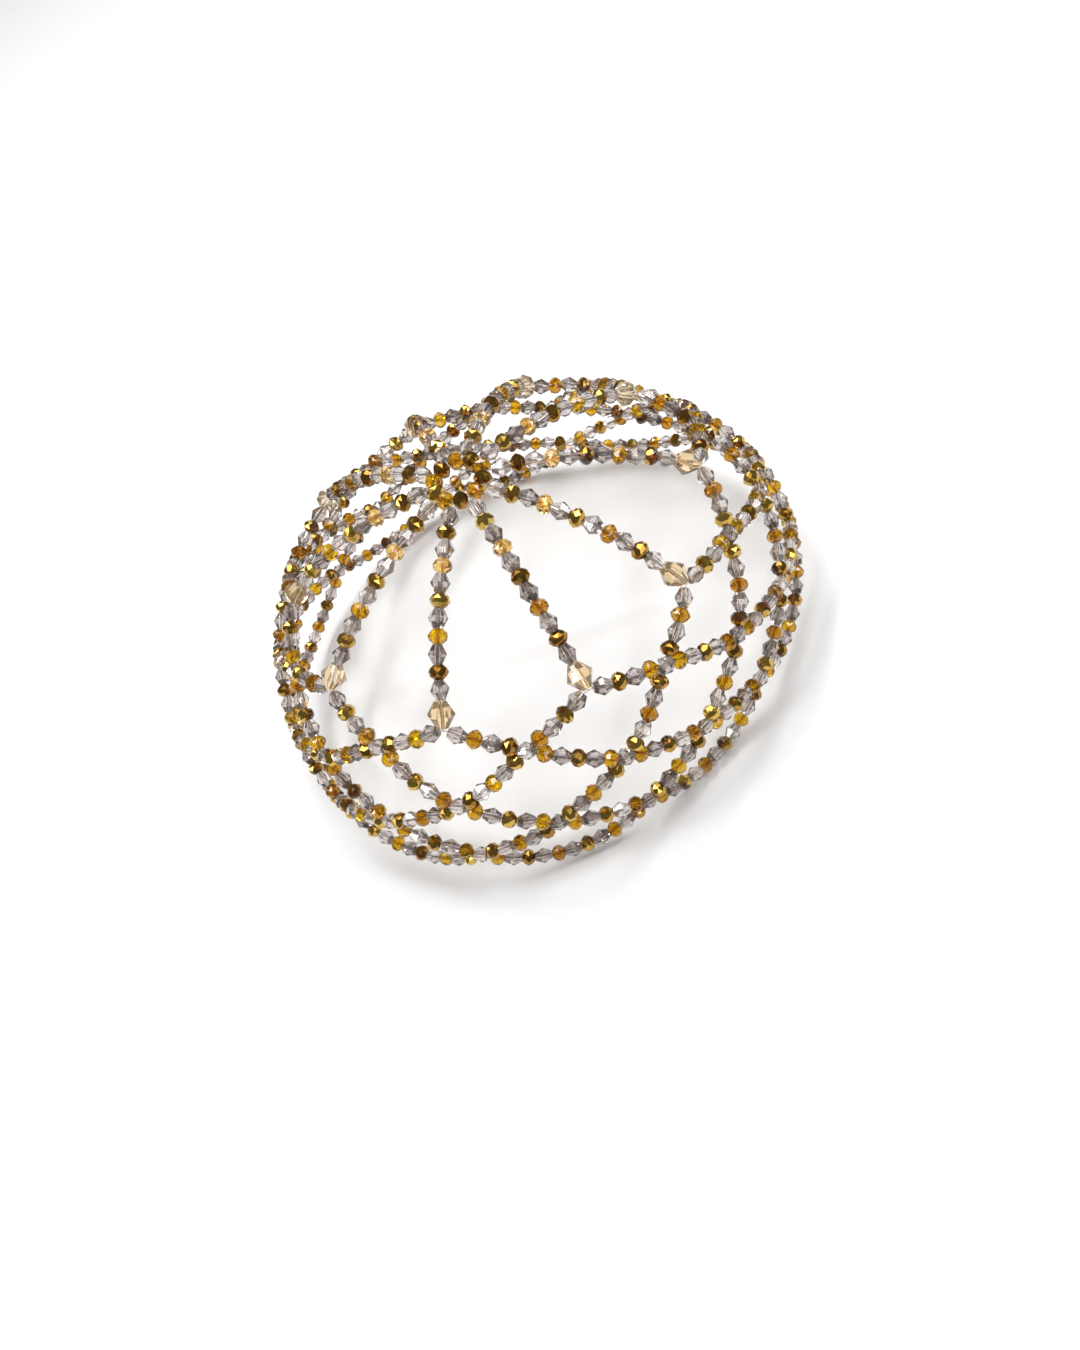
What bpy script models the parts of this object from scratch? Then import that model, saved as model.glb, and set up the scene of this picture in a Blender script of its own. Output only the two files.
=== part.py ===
"""Open net skullcap of faceted glass beads strung on thread, in the form that it takes when it is worn.

Metres, +Z up. The cap's axis is +Z, its longer way is X, and the origin is the inside of the crown,
where the cap sits. A place on the net is a sector, counted in spokes round the axis, and an arc, the way
down from the crown along the surface that the bead centres lie on. Each string is one closed solid, with
its beads joined at their necks.
"""

import math

import bpy
import numpy as np
from mathutils import Vector

MM = 0.001

# The net has spokes from a ring at the crown, a row of scallops, three rows of loops, and a rim strand
SECTORS = 10
FIRST_SPOKE = math.radians(18.0)
CAP_HALF_LENGTH = 90.5 * MM
CAP_HALF_WIDTH = 86.0 * MM
CAP_HEIGHT = 80.0 * MM

# The plan widens from the crown into an egg, and these are shares of its radius at the widest ring
PLAN_STRETCH = 0.044
PLAN_EGG = 0.026

# Arcs from the crown
RING_RADIUS = 7.8 * MM
SPOKE_START = 11.0 * MM
SPOKE_END = 66.7 * MM
ACCENT_TOP = 67.0 * MM
ACCENT_TIP = 75.2 * MM
SCALLOP_START = 76.3 * MM
ROW_LOWEST = {1: 85.7 * MM, 2: 102.2 * MM, 3: 115.8 * MM, 4: 127.5 * MM}
RIM_SAG = 8.0 * MM

# Beads: the shoulders are the widest places, as shares of the bead's length
BICONE = {"diameter": 5.8 * MM, "length": 5.7 * MM, "shoulders": (0.5,)}
RONDELLE = {"diameter": 5.9 * MM, "length": 4.3 * MM, "shoulders": (0.28, 0.72)}
ACCENT_DIAMETER = 8.4 * MM
ACCENT_TIP_RADIUS = 1.6 * MM
NECK_RADIUS = 1.2 * MM
BEADS_IN_SPOKE = 11
BEADS_IN_SCALLOP = 9

# Two scallops part on either side of the accent bead that they hang from
SCALLOP_APART = 1.4 * MM

# Rows below the scallops are plain strands of a string's mean thickness
STRAND_RADIUS = 2.2 * MM
STRAND_END_RADIUS = 1.1 * MM
GAP = 0.4 * MM
RIM_POINTS_PER_SECTOR = 5

# At a middle bead the string above and the one below both pass through it and part on either side
MEETING_ALONG = 5.3 * MM
MEETING_ABOVE = 2.6 * MM
MEETING_BELOW = 3.4 * MM
MEETING_CLEARANCE = 3.7 * MM

# Places where a strand hooks under the row above instead of meeting it bead to bead
HOOK_DROP = 2 * STRAND_RADIUS + GAP

BEAD_SIDES = 10
STRAND_SIDES = 8
STEEPEST = math.radians(130)
PROFILE_STEPS = 400
TRAIL_STEP = 0.5 * MM


def cap_profile(sector):
    """Points from the crown down this sector's meridian of the bead surface, and how far along each is."""
    azimuth = FIRST_SPOKE + sector * math.tau / SECTORS
    slope = np.linspace(0.0, STEEPEST, PROFILE_STEPS)
    egg = PLAN_STRETCH * math.cos(2 * azimuth) + PLAN_EGG * math.cos(3 * azimuth)
    reach = np.sin(slope) * (1.0 + egg * np.sin(slope) ** 2)
    points = np.column_stack(
        (
            CAP_HALF_LENGTH * math.cos(azimuth) * reach,
            CAP_HALF_WIDTH * math.sin(azimuth) * reach,
            CAP_HEIGHT * (np.cos(slope) - 1.0) + RONDELLE["diameter"] / 2,
        )
    )
    steps = np.linalg.norm(np.diff(points, axis=0), axis=1)
    return points, np.concatenate(([0.0], np.cumsum(steps)))


def on_cap(sector, arc):
    points, along = cap_profile(sector)
    return Vector([np.interp(arc, along, points[:, axis]) for axis in range(3)])


def beside(place, along, down):
    """The place this many metres round the cap and down it from another."""
    sector, arc = place
    tenth = (on_cap(sector + 0.05, arc) - on_cap(sector - 0.05, arc)).length
    return sector + 0.1 * along / tenth, arc + down


def halfway(start, end):
    return (start[0] + end[0]) / 2, (start[1] + end[1]) / 2


class Trail:
    """A path over the cap through the places given, read by its length."""

    def __init__(self, places, closed=False):
        if closed:
            places = places + [(places[0][0] + SECTORS, places[0][1])]
        points = []
        for start, end in zip(places, places[1:]):
            steps = max(1, round((on_cap(*end) - on_cap(*start)).length / TRAIL_STEP))
            for step in range(steps):
                share = step / steps
                points.append(on_cap(*(a + (b - a) * share for a, b in zip(start, end))))
        points.append(on_cap(*places[-1]))
        self.points = np.array(points)
        steps = np.linalg.norm(np.diff(self.points, axis=0), axis=1)
        self.along = np.concatenate(([0.0], np.cumsum(steps)))
        self.length = self.along[-1]

    def at(self, distance):
        return Vector([np.interp(distance, self.along, self.points[:, axis]) for axis in range(3)])


def add_tube(name, rings, material, sides, closed=False):
    """A round solid through the rings, each a centre and a radius."""
    curve = bpy.data.curves.new(name, "CURVE")
    curve.dimensions = "3D"
    curve.bevel_depth = MM
    curve.bevel_resolution = (sides - 4) // 2
    curve.use_fill_caps = not closed
    spline = curve.splines.new("POLY")
    spline.points.add(len(rings) - 1)
    for point, (centre, radius) in zip(spline.points, rings):
        point.co = (*centre, 1.0)
        point.radius = radius / MM
    spline.use_cyclic_u = closed
    curve.materials.append(material)
    tube = bpy.data.objects.new(name, curve)
    tube.parent = bpy.data.objects["skullcap"]
    bpy.context.collection.objects.link(tube)
    return tube


def add_string(name, trail, beads, material, closed=False):
    """The beads end to end along the trail, spaced out to fill it."""
    stretch = trail.length / sum(bead["length"] for bead in beads)
    rings = []
    start = 0.0
    for bead in beads:
        length = bead["length"] * stretch
        rings.append((trail.at(start), NECK_RADIUS))
        for shoulder in bead["shoulders"]:
            rings.append((trail.at(start + shoulder * length), bead["diameter"] / 2))
        start += length
    if not closed:
        rings.append((trail.at(trail.length), NECK_RADIUS))
    return add_tube(name, rings, material, BEAD_SIDES, closed)


def alternating(count):
    """Bicones and rondelles in turn, with a bicone at both ends."""
    return [RONDELLE if number % 2 else BICONE for number in range(count)]


def add_crown_ring(material):
    places = [(sector, RING_RADIUS) for sector in range(SECTORS)]
    add_string("crown_ring", Trail(places, closed=True), [RONDELLE] * SECTORS, material, closed=True)


def add_spoke(number, material):
    trail = Trail([(number, SPOKE_START), (number, SPOKE_END)])
    add_string(f"spoke_{number + 1:02d}", trail, alternating(BEADS_IN_SPOKE), material)


def add_accent_bead(number, material):
    middle = (ACCENT_TOP + ACCENT_TIP) / 2
    rings = [
        (on_cap(number, ACCENT_TOP), ACCENT_TIP_RADIUS),
        (on_cap(number, middle), ACCENT_DIAMETER / 2),
        (on_cap(number, ACCENT_TIP), ACCENT_TIP_RADIUS),
    ]
    add_tube(f"accent_bead_{number + 1:02d}", rings, material, BEAD_SIDES)


def bottom_of(row, sector):
    """The places through which a string passes its middle bead."""
    middle = (sector, ROW_LOWEST[row])
    return [
        beside(middle, -MEETING_ALONG, -MEETING_ABOVE),
        middle,
        beside(middle, MEETING_ALONG, -MEETING_ABOVE),
    ]


def add_scallop(number, material):
    """A string of the first row, from one accent bead's tip to the next."""
    start = beside((number, SCALLOP_START), SCALLOP_APART, 0.0)
    end = beside((number + 1, SCALLOP_START), -SCALLOP_APART, 0.0)
    trail = Trail([start, *bottom_of(1, number + 0.5), end])
    add_string(f"row_1_scallop_{number + 1:02d}", trail, alternating(BEADS_IN_SCALLOP), material)


def add_loop(row, number, material):
    """A loop that hangs between two middle beads of the row above."""
    first = number + row / 2 - 0.5
    upper_left, upper_right = (first, ROW_LOWEST[row - 1]), (first + 1, ROW_LOWEST[row - 1])
    share = MEETING_CLEARANCE / math.hypot(MEETING_ALONG, MEETING_BELOW)
    left = beside(upper_left, MEETING_ALONG, MEETING_BELOW)
    right = beside(upper_right, -MEETING_ALONG, MEETING_BELOW)
    bottom = bottom_of(row, first + 0.5)
    places = [
        beside(upper_left, share * MEETING_ALONG, share * MEETING_BELOW),
        left,
        halfway(left, bottom[0]),
        *bottom,
        halfway(bottom[-1], right),
        right,
        beside(upper_right, -share * MEETING_ALONG, share * MEETING_BELOW),
    ]
    rings = [(on_cap(*place), STRAND_RADIUS) for place in places]
    rings[0] = (rings[0][0], STRAND_END_RADIUS)
    rings[-1] = (rings[-1][0], STRAND_END_RADIUS)
    add_tube(f"row_{row}_loop_{number + 1:02d}", rings, material, STRAND_SIDES)


def add_lowest_row(material):
    """The fourth row, a closed zigzag that hooks under the third row's middle beads."""
    places = []
    for number in range(SECTORS):
        peak = (number + 1.5, ROW_LOWEST[3] + HOOK_DROP)
        left = beside(peak, -MEETING_ALONG / 2, 0.0)
        right = beside(peak, MEETING_ALONG / 2, 0.0)
        bottom = bottom_of(4, number + 2)
        next_left = (left[0] + 1, left[1])
        places += [left, right, halfway(right, bottom[0]), *bottom, halfway(bottom[-1], next_left)]
    rings = [(on_cap(*place), STRAND_RADIUS) for place in places]
    add_tube("row_4_net", rings, material, STRAND_SIDES, closed=True)


def add_rim_strand(material):
    """The strand that gathers the lowest row, hanging a little between the places where they meet."""
    rings = []
    for point in range(SECTORS * RIM_POINTS_PER_SECTOR):
        sector = point / RIM_POINTS_PER_SECTOR
        share = sector % 1.0
        sag = HOOK_DROP + (RIM_SAG - HOOK_DROP) * 4 * share * (1 - share)
        rings.append((on_cap(sector, ROW_LOWEST[4] + sag), STRAND_RADIUS))
    add_tube("rim_strand", rings, material, STRAND_SIDES, closed=True)


def finish(name, colour, roughness, metallic=0.0, transmission=0.0):
    material = bpy.data.materials.new(name)
    material.use_nodes = True
    shader = material.node_tree.nodes["Principled BSDF"]
    shader.inputs["Base Color"].default_value = (*colour, 1.0)
    shader.inputs["Roughness"].default_value = roughness
    shader.inputs["Metallic"].default_value = metallic
    shader.inputs["Transmission Weight"].default_value = transmission
    material.diffuse_color = (*colour, 1.0)
    return material


def main():
    for old in list(bpy.data.objects):
        bpy.data.objects.remove(old, do_unlink=True)
    bpy.context.collection.objects.link(bpy.data.objects.new("skullcap", None))

    gold = finish("gold_coated_glass", (0.55, 0.36, 0.08), 0.18, metallic=0.9)
    smoke = finish("smoke_glass", (0.47, 0.42, 0.43), 0.05, transmission=0.8)
    amber = finish("amber_glass", (0.72, 0.38, 0.04), 0.05, transmission=0.8)
    champagne = finish("champagne_glass", (0.95, 0.78, 0.60), 0.05, transmission=0.8)

    add_crown_ring(gold)
    for number in range(SECTORS):
        add_spoke(number, smoke)
        add_accent_bead(number, champagne)
        add_scallop(number, smoke)
        add_loop(2, number, amber)
        add_loop(3, number, smoke)
    add_lowest_row(amber)
    add_rim_strand(gold)


main()
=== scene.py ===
import math
import random

import bmesh
import bpy
import numpy as np
from mathutils import Matrix, Vector


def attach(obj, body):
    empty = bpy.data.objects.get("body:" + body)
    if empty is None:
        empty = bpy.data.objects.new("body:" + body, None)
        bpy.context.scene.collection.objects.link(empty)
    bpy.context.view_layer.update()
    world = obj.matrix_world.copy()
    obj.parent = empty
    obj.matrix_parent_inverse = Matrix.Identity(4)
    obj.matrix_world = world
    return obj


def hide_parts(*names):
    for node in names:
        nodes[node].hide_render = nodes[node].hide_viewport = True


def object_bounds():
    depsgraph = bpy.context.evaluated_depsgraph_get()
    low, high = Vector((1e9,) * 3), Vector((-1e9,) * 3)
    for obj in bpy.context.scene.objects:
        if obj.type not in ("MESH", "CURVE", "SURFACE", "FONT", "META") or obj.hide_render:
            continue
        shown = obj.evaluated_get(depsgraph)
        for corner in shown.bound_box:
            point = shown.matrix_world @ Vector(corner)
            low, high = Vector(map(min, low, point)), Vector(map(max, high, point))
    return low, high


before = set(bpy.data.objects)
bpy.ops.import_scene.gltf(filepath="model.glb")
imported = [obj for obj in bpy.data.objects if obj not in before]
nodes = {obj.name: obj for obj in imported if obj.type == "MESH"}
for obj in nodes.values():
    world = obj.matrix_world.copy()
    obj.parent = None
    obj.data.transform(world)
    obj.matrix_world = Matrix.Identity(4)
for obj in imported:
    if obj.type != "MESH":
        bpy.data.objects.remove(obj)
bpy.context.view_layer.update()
mm = 0.001
weldReach = 0.001 * mm  # corners closer than this are one
seed = 1926
chance = random.Random(seed)
print("frame loaded,", len(nodes), "solids")


# The net's plan, the same as the solids have
net = {
    "sectors": 10,
    "firstSpoke": math.radians(18),
    "halfLength": 90.5 * mm,  # of the dome that the bead centres lie on
    "halfWidth": 86.0 * mm,
    "height": 80.0 * mm,
    "stretch": 0.044,  # the plan widens from the crown into an egg, by these shares of its radius
    "egg": 0.026,
    "crown": 2.95 * mm,  # the height of the bead centres over the origin, which is inside the crown
    "steepest": math.radians(125),  # how far down the dome's profile is measured, and in how many points
    "profilePoints": 300,
    # arcs from the crown down to each row's shared beads
    "shared": {1: 85.7 * mm, 2: 102.2 * mm, 3: 115.8 * mm, 4: 127.5 * mm},
    "partAlong": 4.4 * mm,  # the beads on either side of a shared bead, where two strings part
    "partAcross": 2.5 * mm,
    "legEndAlong": 2.9 * mm,
    "legEndAcross": 0.8 * mm,
    "besideReach": 0.05,  # of a sector, over which its width at an arc is measured
    "trailStep": 0.8 * mm,
    "headingReach": 1.5 * mm,
}


def dome(slope, azimuth):
    egg = net["stretch"] * np.cos(2 * azimuth) + net["egg"] * np.cos(3 * azimuth)
    reach = np.sin(slope) * (1 + egg * np.sin(slope) ** 2)
    return np.stack((
        net["halfLength"] * np.cos(azimuth) * reach,
        net["halfWidth"] * np.sin(azimuth) * reach,
        net["height"] * (np.cos(slope) - 1) + net["crown"],
    ), axis=-1)


def onCap(place):
    # a place is a sector, in spokes round from the first one, and an arc down from the crown
    sector, arc = place
    azimuth = net["firstSpoke"] + sector * math.tau / net["sectors"]
    slopes = np.linspace(0, net["steepest"], net["profilePoints"])
    profile = dome(slopes, azimuth)
    along = np.concatenate(([0], np.cumsum(np.linalg.norm(np.diff(profile, axis=0), axis=1))))
    return Vector(dome(np.interp(arc, along, slopes), azimuth))


def outward(point):
    return Vector((
        point.x / net["halfLength"] ** 2,
        point.y / net["halfWidth"] ** 2,
        (point.z - net["crown"] + net["height"]) / net["height"] ** 2,
    )).normalized()


def beside(place, along, down):
    # a place moved by lengths, round the cap and down it
    sector, arc = place
    reach = net["besideReach"]
    width = (onCap((sector + reach, arc)) - onCap((sector - reach, arc))).length
    return sector + 2 * reach * along / width, arc + down


def sharedBead(row, sector):
    return sector, net["shared"][row]


class Trail:
    # a string's way over the dome, read by its length
    def __init__(self, places):
        points = []
        for start, end in zip(places, places[1:]):
            pieces = max(1, round((onCap(end) - onCap(start)).length / net["trailStep"]))
            for piece in range(pieces):
                share = piece / pieces
                points.append(onCap([a + (b - a) * share for a, b in zip(start, end)]))
        points.append(onCap(places[-1]))
        self.points = points
        self.along = np.concatenate(([0], np.cumsum([(b - a).length for a, b in zip(points, points[1:])])))
        self.length = self.along[-1]

    def at(self, distance):
        return Vector([np.interp(distance, self.along, [p[axis] for p in self.points]) for axis in range(3)])

    def heading(self, distance):
        reach = net["headingReach"]
        return (self.at(distance + reach) - self.at(distance - reach)).normalized()

    def middle(self):
        return self.at(self.length / 2), self.heading(self.length / 2)


# Bead cuts, each made once, standing on its hole's axis
bicone = {"diameter": 5.8 * mm, "length": 5.7 * mm, "facets": 8, "tip": 1.45 * mm, "hole": 0.5 * mm}
rondelle = {
    "diameter": 6.0 * mm,
    "length": 4.3 * mm,
    "facets": 8,
    "hole": 0.5 * mm,
    "flat": 0.48,  # of the bead's radius, as is the shoulder
    "shoulder": 0.86,
    "shoulderHeight": 0.27,  # of the bead's length
}
accent = {"diameter": 8.4 * mm, "length": 8.2 * mm, "facets": 8, "tip": 1.75 * mm, "hole": 0.6 * mm}


def turnBead(cut, upper):
    # the outline of a bead's upper half, in to its hole, is mirrored below its belt and spun round the hole
    belt = (cut["diameter"] / 2, 0)
    lower = [(radius, -height) for radius, height in reversed(upper)]
    mesh = bmesh.new()
    corners = [mesh.verts.new((radius, 0, height)) for radius, height in [*lower, belt, *upper]]
    edges = [mesh.edges.new(pair) for pair in zip(corners, corners[1:] + corners[:1])]
    bmesh.ops.spin(mesh, geom=corners + edges, cent=(0, 0, 0), axis=(0, 0, 1), angle=math.tau,
                   steps=cut["facets"], use_merge=True)
    bmesh.ops.remove_doubles(mesh, verts=mesh.verts, dist=weldReach)
    bmesh.ops.recalc_face_normals(mesh, faces=mesh.faces)
    return mesh


def cutBicone(cut):
    half = cut["length"] / 2
    return turnBead(cut, [(cut["tip"], half), (cut["hole"], half)])


def cutRondelle(cut):
    radius, half = cut["diameter"] / 2, cut["length"] / 2
    shoulder = (cut["shoulder"] * radius, cut["shoulderHeight"] * cut["length"])
    mesh = turnBead(cut, [shoulder, (cut["flat"] * radius, half), (cut["hole"], half)])
    # the belt's corners are turned between those of the rows beside it, so that its facets are triangles
    belt = [corner for corner in mesh.verts if abs(corner.co.z) < weldReach]
    halfFacet = Matrix.Rotation(math.pi / cut["facets"], 3, "Z")
    bmesh.ops.rotate(mesh, verts=belt, cent=(0, 0, 0), matrix=halfFacet)
    beltFacets = [face for face in mesh.faces if any(corner in belt for corner in face.verts)]
    bmesh.ops.triangulate(mesh, faces=beltFacets, quad_method="SHORT_EDGE")
    return mesh


def keepMesh(name, mesh):
    kept = bpy.data.meshes.new(name)
    mesh.to_mesh(kept)
    mesh.free()
    return kept


cuts = {
    "bicone": (bicone, keepMesh("biconeCut", cutBicone(bicone))),
    "rondelle": (rondelle, keepMesh("rondelleCut", cutRondelle(rondelle))),
    "accent": (accent, keepMesh("accentCut", cutBicone(accent))),
}
print("beads cut")


# The strings, bead by bead
beadKinds = {
    "smoke": {"cut": "bicone", "slot": "smoke_glass", "piece": "smoke_beads"},
    "gold": {"cut": "rondelle", "slot": "gold_coated_glass", "piece": "gold_beads"},
    "amber": {"cut": "rondelle", "slot": "amber_glass", "piece": "amber_beads"},
    "paleAmber": {"cut": "rondelle", "slot": "amber_glass", "piece": "pale_amber_beads"},
    "champagne": {"cut": "accent", "slot": "champagne_glass", "piece": "champagne_beads"},
}
rows = {
    "crown_ring": {"solids": "crown_ring", "size": 1.0},
    "spokes": {"solids": "spoke_", "size": 1.0},
    "accents": {"solids": "accent_bead_", "size": 1.0},
    "row_1": {"solids": "row_1_scallop_", "size": 1.0},
    "row_2": {"solids": "row_2_loop_", "size": 0.97},
    "row_3": {"solids": "row_3_loop_", "size": 0.94},
    "row_4": {"solids": "row_4_net", "size": 0.92},
    "rim": {"solids": "rim_strand", "size": 0.9},
}
stringing = {
    "lean": math.radians(7),  # how far a bead tips off its thread
    "shift": 0.22 * mm,
    "ringRadius": 7.8 * mm,
    "spokeStart": 10.4 * mm,
    "spokeEnd": 66.8 * mm,
    "accentTop": 67.0 * mm,
    "accentTip": 75.2 * mm,
    "scallopStart": 76.2 * mm,
    "scallopApart": 1.5 * mm,
    "turnedScallop": 6,  # one scallop was strung the other way round
    "rimSag": 7.5 * mm,
    "rimPoints": 15,
}
charts = {
    "spoke": "smoke gold smoke paleAmber smoke gold smoke amber smoke gold smoke".split(),
    "scallop": "smoke gold smoke amber smoke gold smoke amber smoke".split(),
    "legDown": "amber smoke gold smoke amber".split(),
    "legUp": "gold smoke amber smoke gold".split(),
    "rim": "amber smoke gold smoke amber smoke gold smoke amber smoke gold".split(),
}
strung = {}  # (row, kind of bead) to the beads' matrices
threadWays = []


def beadLength(kind):
    return cuts[beadKinds[kind]["cut"]][0]["length"]


def setBead(row, kind, centre, heading, squeeze=1.0, steady=False):
    # squeeze is the bead's length against its cut's, and a steady bead isn't tipped or shifted
    size = rows[row]["size"]
    side = heading.cross(outward(centre)).normalized()
    upright = Matrix((side, heading.cross(side), heading)).transposed().to_4x4()
    roll = Matrix.Rotation(chance.uniform(0, math.tau), 4, "Z")
    lean = Matrix.Rotation(0 if steady else chance.gauss(0, stringing["lean"]), 4, side)
    shift = 0 if steady else chance.uniform(-1, 1) * stringing["shift"]
    scale = Matrix.Diagonal((size, size, min(squeeze, 1.0), 1))
    place = Matrix.Translation(centre + shift * side) @ lean @ upright @ roll @ scale
    strung.setdefault((row, kind), []).append(place)


def stringOn(row, trail, chart):
    # beads end to end, spaced out to fill the trail
    stretch = trail.length / sum(beadLength(kind) for kind in chart)
    start = 0
    for kind in chart:
        length = beadLength(kind) * stretch
        middle = start + length / 2
        setBead(row, kind, trail.at(middle), trail.heading(middle), stretch)
        start += length


def stringRing():
    for sector in range(net["sectors"]):
        way = Trail([(sector, stringing["ringRadius"]), (sector + 1, stringing["ringRadius"])])
        kind = "amber" if sector % 2 else "gold"
        setBead("crown_ring", kind, *way.middle(), way.length / beadLength(kind))
        threadWays.append(way.points)


def downSpoke(sector, start, end):
    return Trail([(sector, stringing[start]), (sector, stringing[end])])


def stringSpokes():
    for sector in range(net["sectors"]):
        stringOn("spokes", downSpoke(sector, "spokeStart", "spokeEnd"), charts["spoke"])
        setBead("accents", "champagne", *downSpoke(sector, "accentTop", "accentTip").middle(), steady=True)
        threadWays.append(downSpoke(sector, "ringRadius", "scallopStart").points)


def stringScallops():
    for sector in range(net["sectors"]):
        start, end = (sector, stringing["scallopStart"]), (sector + 1, stringing["scallopStart"])
        low = sharedBead(1, sector + 0.5)
        way = [
            beside(start, stringing["scallopApart"], 0),
            beside(low, -net["partAlong"], -net["partAcross"]),
            low,
            beside(low, net["partAlong"], -net["partAcross"]),
            beside(end, -stringing["scallopApart"], 0),
        ]
        chart = charts["scallop"]
        stringOn("row_1", Trail(way), chart[::-1] if sector == stringing["turnedScallop"] else chart)
        threadWays.append(Trail([start, *way, end]).points)


def stringLeg(row, upper, lower, side):
    # five beads from a shared bead down to the next row's
    # side is 1 where the leg goes round the cap as it goes down, and -1 where it comes back
    way = [
        beside(upper, side * net["legEndAlong"], net["legEndAcross"]),
        beside(upper, side * net["partAlong"], net["partAcross"]),
        beside(lower, -side * net["partAlong"], -net["partAcross"]),
        beside(lower, -side * net["legEndAlong"], -net["legEndAcross"]),
    ]
    if side > 0:
        stringOn(row, Trail(way), charts["legDown"])
    else:
        stringOn(row, Trail(way[::-1]), charts["legUp"])
    threadWays.append(Trail([upper, *way, lower]).points)


def stringLoops(number):
    # each row hangs half a sector further round than the one above
    row = f"row_{number}"
    for sector in range(net["sectors"]):
        first = sector + number / 2 - 0.5
        low = sharedBead(number, first + 0.5)
        stringLeg(row, sharedBead(number - 1, first), low, 1)
        stringLeg(row, sharedBead(number - 1, first + 1), low, -1)
        way = Trail([beside(low, -net["legEndAlong"], 0), beside(low, net["legEndAlong"], 0)])
        setBead(row, "smoke", onCap(low), way.heading(way.length / 2), steady=True)


def rimPlace(sector):
    # the rim sags between row 4's shared beads in a parabola
    share = sector % 1
    return sector, net["shared"][4] + stringing["rimSag"] * 4 * share * (1 - share)


def stringRim():
    for sector in range(net["sectors"]):
        # the strand starts and ends half a bead clear of row 4's shared beads
        start, end = sharedBead(4, sector), sharedBead(4, sector + 1)
        clear = rows["rim"]["size"] * beadLength("smoke") / 2 / (onCap(end) - onCap(start)).length
        way = [rimPlace(sector + share) for share in np.linspace(clear, 1 - clear, stringing["rimPoints"])]
        stringOn("rim", Trail(way), charts["rim"])
        threadWays.append(Trail([start, *way, end]).points)


stringRing()
stringSpokes()
stringScallops()
for number in (2, 3, 4):
    stringLoops(number)
stringRim()
print("beads strung:", sum(len(places) for places in strung.values()))


# Shader maths as plain expressions
class Signal:
    def __init__(self, finish, socket):
        self.finish, self.socket = finish, socket

    def maths(self, operation, *values):
        return self.finish.add("ShaderNodeMath", {"operation": operation}, dict(enumerate(values)))

    def __add__(self, other):
        return self.maths("ADD", self, other)

    def __sub__(self, other):
        return self.maths("SUBTRACT", self, other)

    def __rsub__(self, other):
        return self.maths("SUBTRACT", other, self)

    def __mul__(self, other):
        return self.maths("MULTIPLY", self, other)

    __radd__ = __add__
    __rmul__ = __mul__

    def ease(self, low, high):
        return self.finish.add("ShaderNodeMapRange", {"interpolation_type": "SMOOTHSTEP"},
                               {"Value": self, "From Min": low, "From Max": high})


class Finish:
    def __init__(self, name, **constants):
        self.material = bpy.data.materials.new(name)
        self.material.use_nodes = True
        self.tree = self.material.node_tree
        self.shader = self.tree.nodes["Principled BSDF"]
        self.paint(**constants)

    def add(self, kind, settings=None, sockets=None, output=0):
        node = self.tree.nodes.new(kind)
        for setting, value in (settings or {}).items():
            if setting == "stops":
                self.setStops(node.color_ramp, value)
            else:
                setattr(node, setting, value)
        for socket, value in (sockets or {}).items():
            self.feed(node.inputs[socket], value)
        return Signal(self, node.outputs[output])

    def setStops(self, ramp, stops):
        while len(ramp.elements) < len(stops):
            ramp.elements.new(1)
        for element, (position, colour) in zip(ramp.elements, stops):
            element.position = position
            element.color = (*colour, 1)

    def feed(self, socket, value):
        if isinstance(value, Signal):
            self.tree.links.new(value.socket, socket)
        else:
            socket.default_value = value

    def paint(self, **values):
        for socket, value in values.items():
            self.feed(self.shader.inputs[socket.replace("_", " ")], value)
        return self.material

    def attribute(self, name):
        return self.add("ShaderNodeAttribute", {"attribute_name": name}, output="Fac")

    def noise(self, size, detail=2.0):
        where = self.add("ShaderNodeTexCoord", output="Object")
        sockets = {"Vector": where, "Scale": 1 / size, "Detail": detail}
        return self.add("ShaderNodeTexNoise", sockets=sockets, output="Fac")

    def blend(self, share, first, second):
        # a Mix node's colours are its inputs 6 and 7, and its output 2
        sockets = {"Factor": share, 6: self.colour(first), 7: self.colour(second)}
        return self.add("ShaderNodeMix", {"data_type": "RGBA"}, sockets, output=2)

    def colour(self, value):
        return value if isinstance(value, Signal) else (*value, 1)


# Finishes
smokeGlass = {"light": (0.95, 0.885, 0.84), "deep": (0.38, 0.318, 0.296), "roughness": 0.005, "shine": 0.9}
amberGlass = {"light": (0.86, 0.53, 0.006), "deep": (0.50, 0.20, 0.002), "roughness": 0.01, "shine": 0.3}
paleAmberGlass = {"light": (1.0, 0.73, 0.30), "deep": (0.86, 0.51, 0.12), "roughness": 0.01, "shine": 0.4}
champagneGlass = {"light": (1.0, 0.885, 0.725), "deep": (0.98, 0.735, 0.40), "roughness": 0.005, "shine": 0.5}
glassBatch = {
    "transmission": 0.9,
    "refraction": 1.57,
    "cloudSize": 0.9 * mm,
    "cloudDetail": 3.0,
    "byBead": 0.6,  # how much the depth of tone differs from bead to bead, and how much within one
    "byCloud": 1.6,
    "lighter": 0.6,
    "unevenness": 0.03,  # of the roughness
}
goldCoat = {
    "glass": (0.60, 0.26, 0.002),
    "transmission": 0.94,
    "refraction": 1.53,
    "gloss": 0.25,
    "roughness": 0.09,
    "unevenness": 0.05,
    "metal": [(0.32, (0.30, 0.145, 0.024)), (0.60, (0.45, 0.255, 0.042)), (0.85, (0.62, 0.41, 0.085))],
    "byBead": 0.6,
    "byCloud": 0.6,
    "cloudSize": 1.2 * mm,
    "edge": -0.45,  # where the coat ends, from -1 on the bare side of a bead to 1 on the coated one
    "edgeWidth": 0.12,
    "edgeWander": 0.3,
    "outward": 0.7,  # how much the coated side is turned to the cap's outside
}
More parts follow.
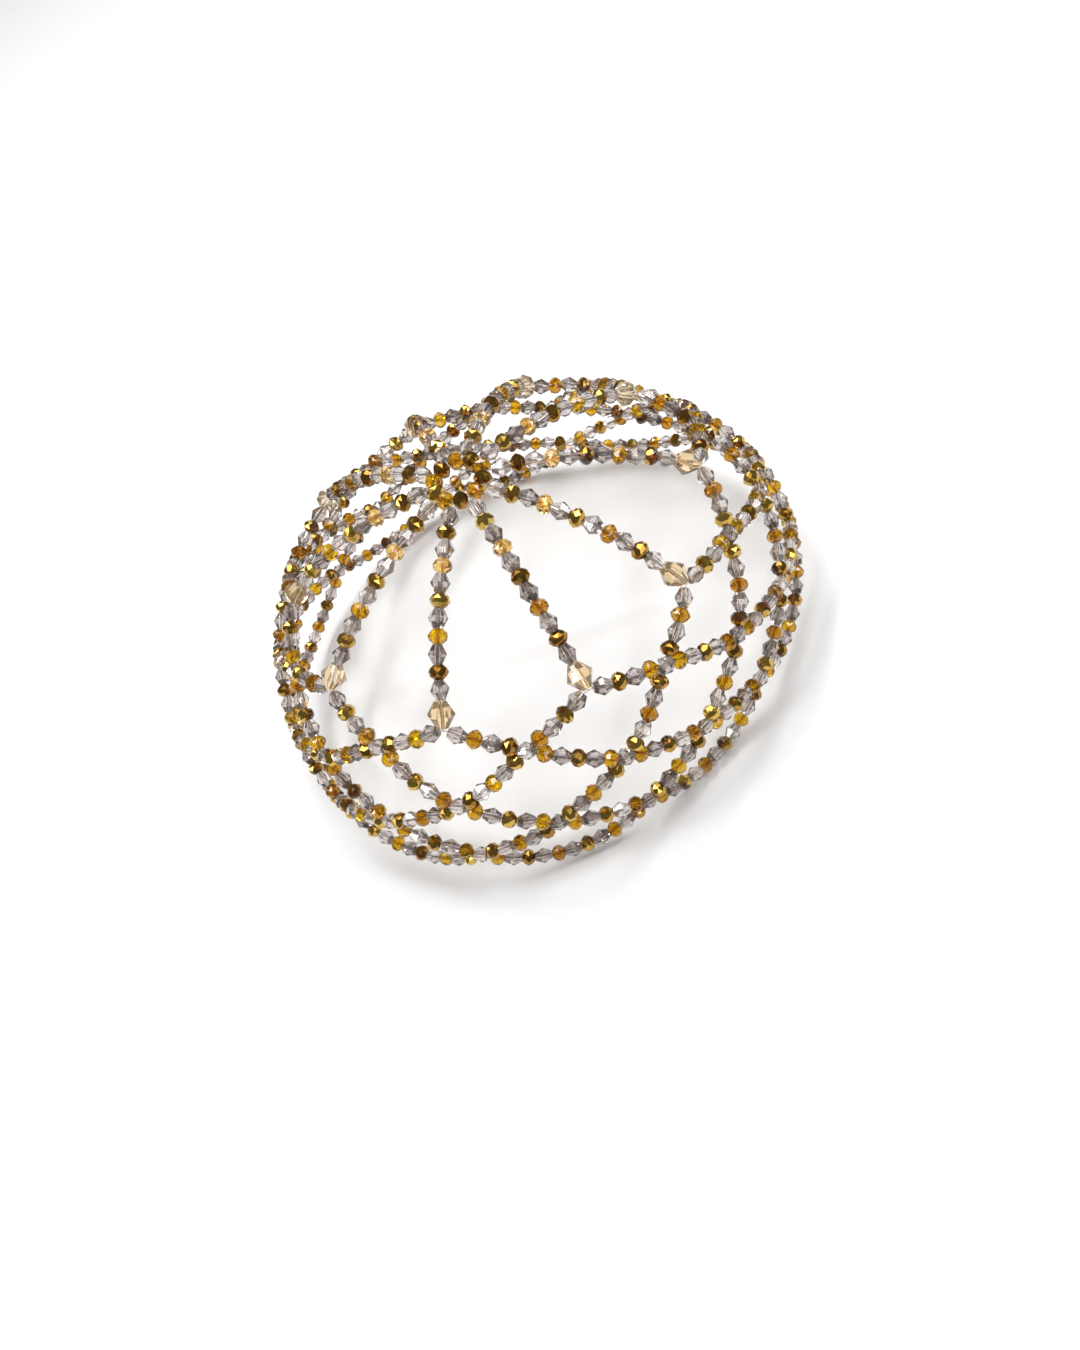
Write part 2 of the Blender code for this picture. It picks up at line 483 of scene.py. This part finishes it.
nylon = {
    "light": (0.93, 0.93, 0.92),
    "deep": (0.80, 0.79, 0.77),
    "transmission": 0.55,
    "refraction": 1.5,
    "cloudSize": 0.8 * mm,
    "roughness": 0.2,
    "unevenness": 0.1,
}


def clearGlass(name, glass):
    finish = Finish(name, Transmission_Weight=glassBatch["transmission"], IOR=glassBatch["refraction"],
                    Specular_IOR_Level=glass["shine"])
    tone = finish.attribute("beadTone")
    cloud = finish.noise(glassBatch["cloudSize"], glassBatch["cloudDetail"])
    depth = (glassBatch["byBead"] * tone + glassBatch["byCloud"] * cloud - glassBatch["lighter"]).ease(0, 1)
    return finish.paint(
        Base_Color=finish.blend(depth, glass["light"], glass["deep"]),
        Roughness=glass["roughness"] + glassBatch["unevenness"] * cloud,
    )


def coatedGlass(name):
    # amber glass whose one side has a gold and bronze metal coat
    finish = Finish(name, Transmission_Weight=goldCoat["transmission"], IOR=goldCoat["refraction"],
                    Coat_Weight=goldCoat["gloss"])
    tone = finish.attribute("beadTone")
    cloud = finish.noise(goldCoat["cloudSize"])
    edge, wander = goldCoat["edge"], goldCoat["edgeWander"]
    side = finish.attribute("coatSide") + wander * cloud - wander / 2
    coat = side.ease(edge, edge + goldCoat["edgeWidth"])
    brightness = goldCoat["byBead"] * tone + goldCoat["byCloud"] * cloud
    metal = finish.add("ShaderNodeValToRGB", {"stops": goldCoat["metal"]}, {"Fac": brightness})
    return finish.paint(
        Base_Color=finish.blend(coat, goldCoat["glass"], metal),
        Metallic=coat,
        Roughness=goldCoat["roughness"] + goldCoat["unevenness"] * cloud,
    )


def spunNylon(name):
    finish = Finish(name, Transmission_Weight=nylon["transmission"], IOR=nylon["refraction"])
    cloud = finish.noise(nylon["cloudSize"])
    return finish.paint(
        Base_Color=finish.blend(cloud, nylon["light"], nylon["deep"]),
        Roughness=nylon["roughness"] + nylon["unevenness"] * cloud,
    )


finishes = {
    "smoke": clearGlass("smokeGlass", smokeGlass),
    "gold": coatedGlass("goldCoatedGlass"),
    "amber": clearGlass("amberGlass", amberGlass),
    "paleAmber": clearGlass("paleAmberGlass", paleAmberGlass),
    "champagne": clearGlass("champagneGlass", champagneGlass),
    "nylon": spunNylon("nylonThread"),
}
print("finishes mixed")


# Pieces, one for each row and kind of bead
def addPiece(name, mesh, finish):
    mesh.materials.clear()
    mesh.materials.append(finish)
    piece = bpy.data.objects.new(name, mesh)
    bpy.context.scene.collection.objects.link(piece)
    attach(piece, "root")
    return piece


def gatherBeads(kind, places):
    # all beads of a kind in one row, as one mesh with a tone for each bead and a side for its coat
    cut, pattern = cuts[beadKinds[kind]["cut"]]
    mesh = bmesh.new()
    for place in places:
        before = len(mesh.verts)
        mesh.from_mesh(pattern)
        mesh.verts.ensure_lookup_table()
        bmesh.ops.transform(mesh, matrix=place, verts=mesh.verts[before:])
    gathered = keepMesh(kind, mesh)
    corners = np.array([corner.co for corner in pattern.vertices]) / (cut["diameter"] / 2)
    tones, sides = [], []
    for place in places:
        tones += [chance.random()] * len(corners)
        anyWay = Vector([chance.gauss(0, 1) for axis in range(3)]).normalized()
        outWay = (place.to_3x3().transposed() @ outward(place.translation)).normalized()
        coatWay = (anyWay + goldCoat["outward"] * outWay).normalized()
        sides += list(corners @ np.array(coatWay))
    for name, values in (("beadTone", tones), ("coatSide", sides)):
        gathered.attributes.new(name, "FLOAT", "POINT").data.foreach_set("value", values)
    return gathered


for (row, kind), places in strung.items():
    look = beadKinds[kind]
    piece = addPiece(f"{row}_{look['piece']}", gatherBeads(kind, places), finishes[kind])
    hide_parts(*[node for node in nodes if node.startswith(rows[row]["solids"])])
print("beads gathered into", len(strung), "pieces")


# The thread, which shows where two beads meet
thread = {
    "radius": 0.19 * mm,
    "sides": 6,
    "every": 2,  # it goes through every second point of the strings' ways
}


def runThread():
    curve = bpy.data.curves.new("threadWays", "CURVE")
    curve.dimensions = "3D"
    curve.bevel_depth = thread["radius"]
    curve.bevel_resolution = (thread["sides"] - 4) // 2  # a round bevel has 4 sides, and 2 more for each step
    curve.use_fill_caps = True
    for way in threadWays:
        points = way[:: thread["every"]] + [way[-1]]
        spline = curve.splines.new("POLY")
        spline.points.add(len(points) - 1)
        for corner, point in zip(spline.points, points):
            corner.co = (*point, 1)
    guide = bpy.data.objects.new("threadWays", curve)
    bpy.context.scene.collection.objects.link(guide)
    bpy.context.view_layer.update()
    mesh = bpy.data.meshes.new_from_object(guide.evaluated_get(bpy.context.evaluated_depsgraph_get()))
    bpy.data.objects.remove(guide)
    addPiece("nylon_thread", mesh, finishes["nylon"])


runThread()
print("thread run through")


# Studio: a pale floor, soft lights and the photograph's camera
studio = {
    "floorDrop": 0.4 * mm,
    "floorWidth": 6.0,
    "floorColour": (0.96, 0.955, 0.95),
    "floorRoughness": 0.7,
    "sky": (0.62, 0.63, 0.65),
    "skyStrength": 0.28,
    "lamps": {
        "softbox": {"from": (0.2, 0.55, 1.15), "size": (0.85, 0.85), "energy": 10},
        "sideLight": {"from": (-0.95, 0.1, 0.6), "size": (0.25, 0.25), "energy": 2.8},
        "frontLight": {"from": (0.3, -1.0, 0.9), "size": (0.4, 0.4), "energy": 2.2},
        "leftStrip": {"from": (-0.35, 0.3, 1.1), "size": (1.2, 0.1), "energy": 5},
        "rightStrip": {"from": (0.7, -0.15, 0.95), "size": (0.1, 1.2), "energy": 4.5},
    },
}
camera = {
    "stands": Vector((-0.01459, -0.21716, 0.20747)),
    "turn": math.radians(-1.87),
    "tip": math.radians(34.80),
    "roll": math.radians(-29.69),
    "focalPixels": 992.56,  # of an image 1080 wide and 1350 high
    "imageHeight": 1350,
    "nearest": 10 * mm,
}


def layFloor(low):
    mesh = bmesh.new()
    bmesh.ops.create_grid(mesh, x_segments=1, y_segments=1, size=studio["floorWidth"] / 2)
    bmesh.ops.translate(mesh, verts=mesh.verts, vec=(0, 0, low - studio["floorDrop"]))
    plane = keepMesh("floor", mesh)
    paint = Finish("paleFloor", Roughness=studio["floorRoughness"], Base_Color=(*studio["floorColour"], 1))
    plane.materials.append(paint.material)
    floor = bpy.data.objects.new("floor", plane)
    bpy.context.scene.collection.objects.link(floor)


def hangLamps(centre):
    for name, lamp in studio["lamps"].items():
        light = bpy.data.lights.new(name, "AREA")
        light.shape = "RECTANGLE"
        light.size, light.size_y = lamp["size"]
        light.energy = lamp["energy"]
        stand = bpy.data.objects.new(name, light)
        stand.location = centre + Vector(lamp["from"])
        stand.rotation_euler = (-Vector(lamp["from"])).to_track_quat("-Z", "Y").to_euler()
        bpy.context.scene.collection.objects.link(stand)


def openSky():
    sky = bpy.data.worlds.new("sky")
    sky.use_nodes = True
    background = sky.node_tree.nodes["Background"]
    background.inputs["Color"].default_value = (*studio["sky"], 1)
    background.inputs["Strength"].default_value = studio["skyStrength"]
    bpy.context.scene.world = sky
    bpy.context.scene.view_settings.view_transform = "Standard"


def placeCamera():
    view = bpy.data.cameras.new("photoCamera")
    view.lens = camera["focalPixels"] / camera["imageHeight"] * view.sensor_width
    view.clip_start = camera["nearest"]
    place = Matrix.Translation(camera["stands"])
    for angle, axis in (("turn", "Z"), ("tip", "X"), ("roll", "Z")):
        place = place @ Matrix.Rotation(camera[angle], 4, axis)
    stand = bpy.data.objects.new("photoCamera", view)
    stand.matrix_world = place
    bpy.context.scene.collection.objects.link(stand)
    bpy.context.scene.camera = stand


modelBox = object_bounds()
layFloor(modelBox[0].z)
hangLamps((modelBox[0] + modelBox[1]) / 2)
openSky()
placeCamera()
print("studio set")
